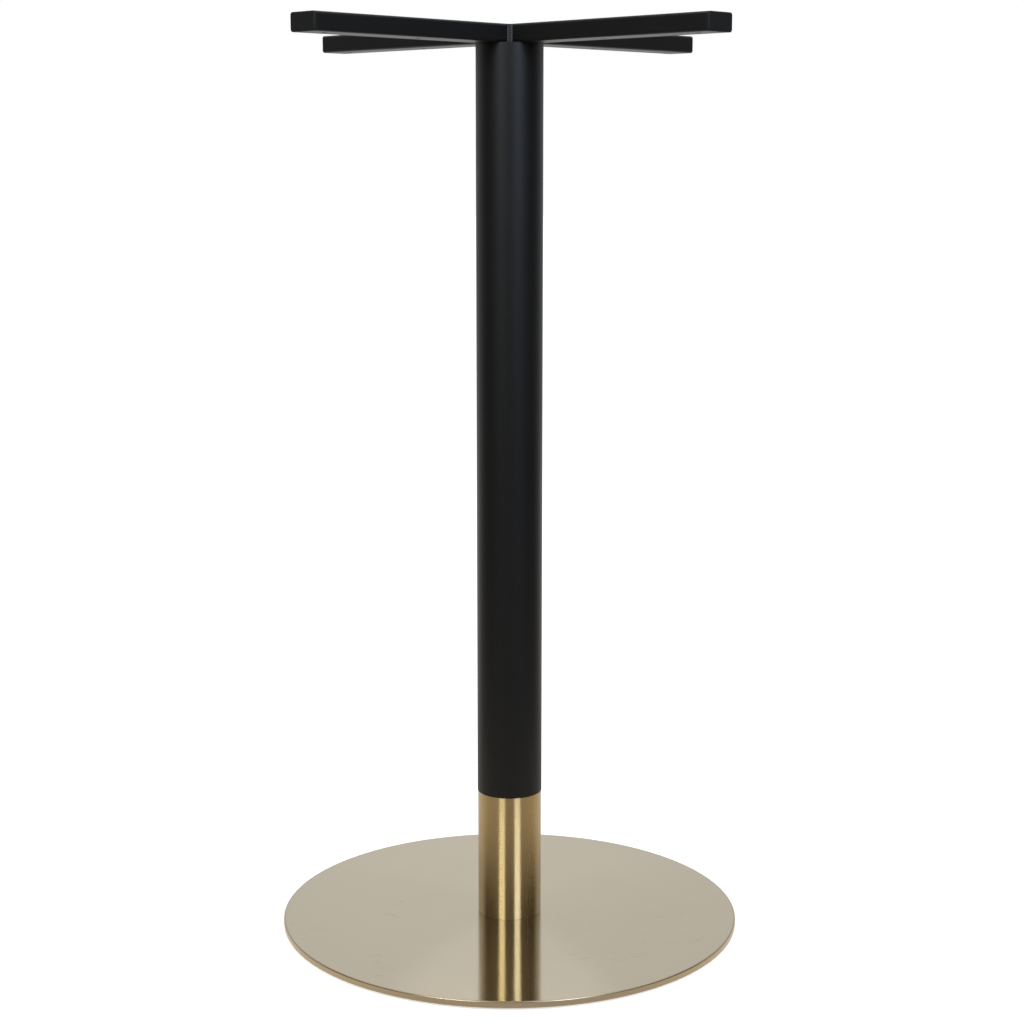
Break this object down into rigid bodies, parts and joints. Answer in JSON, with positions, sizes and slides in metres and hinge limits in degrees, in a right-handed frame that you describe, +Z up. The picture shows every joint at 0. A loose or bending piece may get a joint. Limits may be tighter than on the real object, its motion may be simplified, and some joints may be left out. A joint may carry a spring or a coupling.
{
  "type": "disc table base",
  "caption": "Bar-height table base: thin round brass-finish disc, black column on a brass sleeve, and a cross of arms that carries a table top.",
  "frame": {"origin": "on the floor under the middle of the disc", "axes": "+Z up along the column; the arms point along the diagonals between X and Y; the picture looks along +Y"},
  "size_m": [0.5399, 0.54, 1.046],
  "materials": {
    "brushed_brass": "brushed",
    "black_powder_coat": "satin",
    "plain_steel": "plain",
    "zinc_plated_steel": "zinc plated",
    "black_nylon": "matte"
  },
  "bodies": {
    "root": {"base_cover": "brushed_brass", "brass_sleeve": "brushed_brass", "column_tube": "black_powder_coat", "through_bar": "black_powder_coat", "half_bar_back_left": "black_powder_coat", "half_bar_front_right": "black_powder_coat", "hub_welds": "black_powder_coat", "ballast_plate": "plain_steel", "foot_plug": "plain_steel", "spigot_tube": "plain_steel", "top_plug": "black_powder_coat", "tie_rod": "zinc_plated_steel", "rod_washer": "zinc_plated_steel", "rod_nut": "zinc_plated_steel", "column_screws": "zinc_plated_steel", "glide_screws": "zinc_plated_steel", "end_cap_back_right": "black_nylon", "end_cap_back_left": "black_nylon", "end_cap_front_left": "black_nylon", "end_cap_front_right": "black_nylon", "glide_1": "black_nylon", "glide_2": "black_nylon", "glide_3": "black_nylon", "glide_4": "black_nylon", "glide_5": "black_nylon", "glide_6": "black_nylon"}
  },
  "joints": []
}
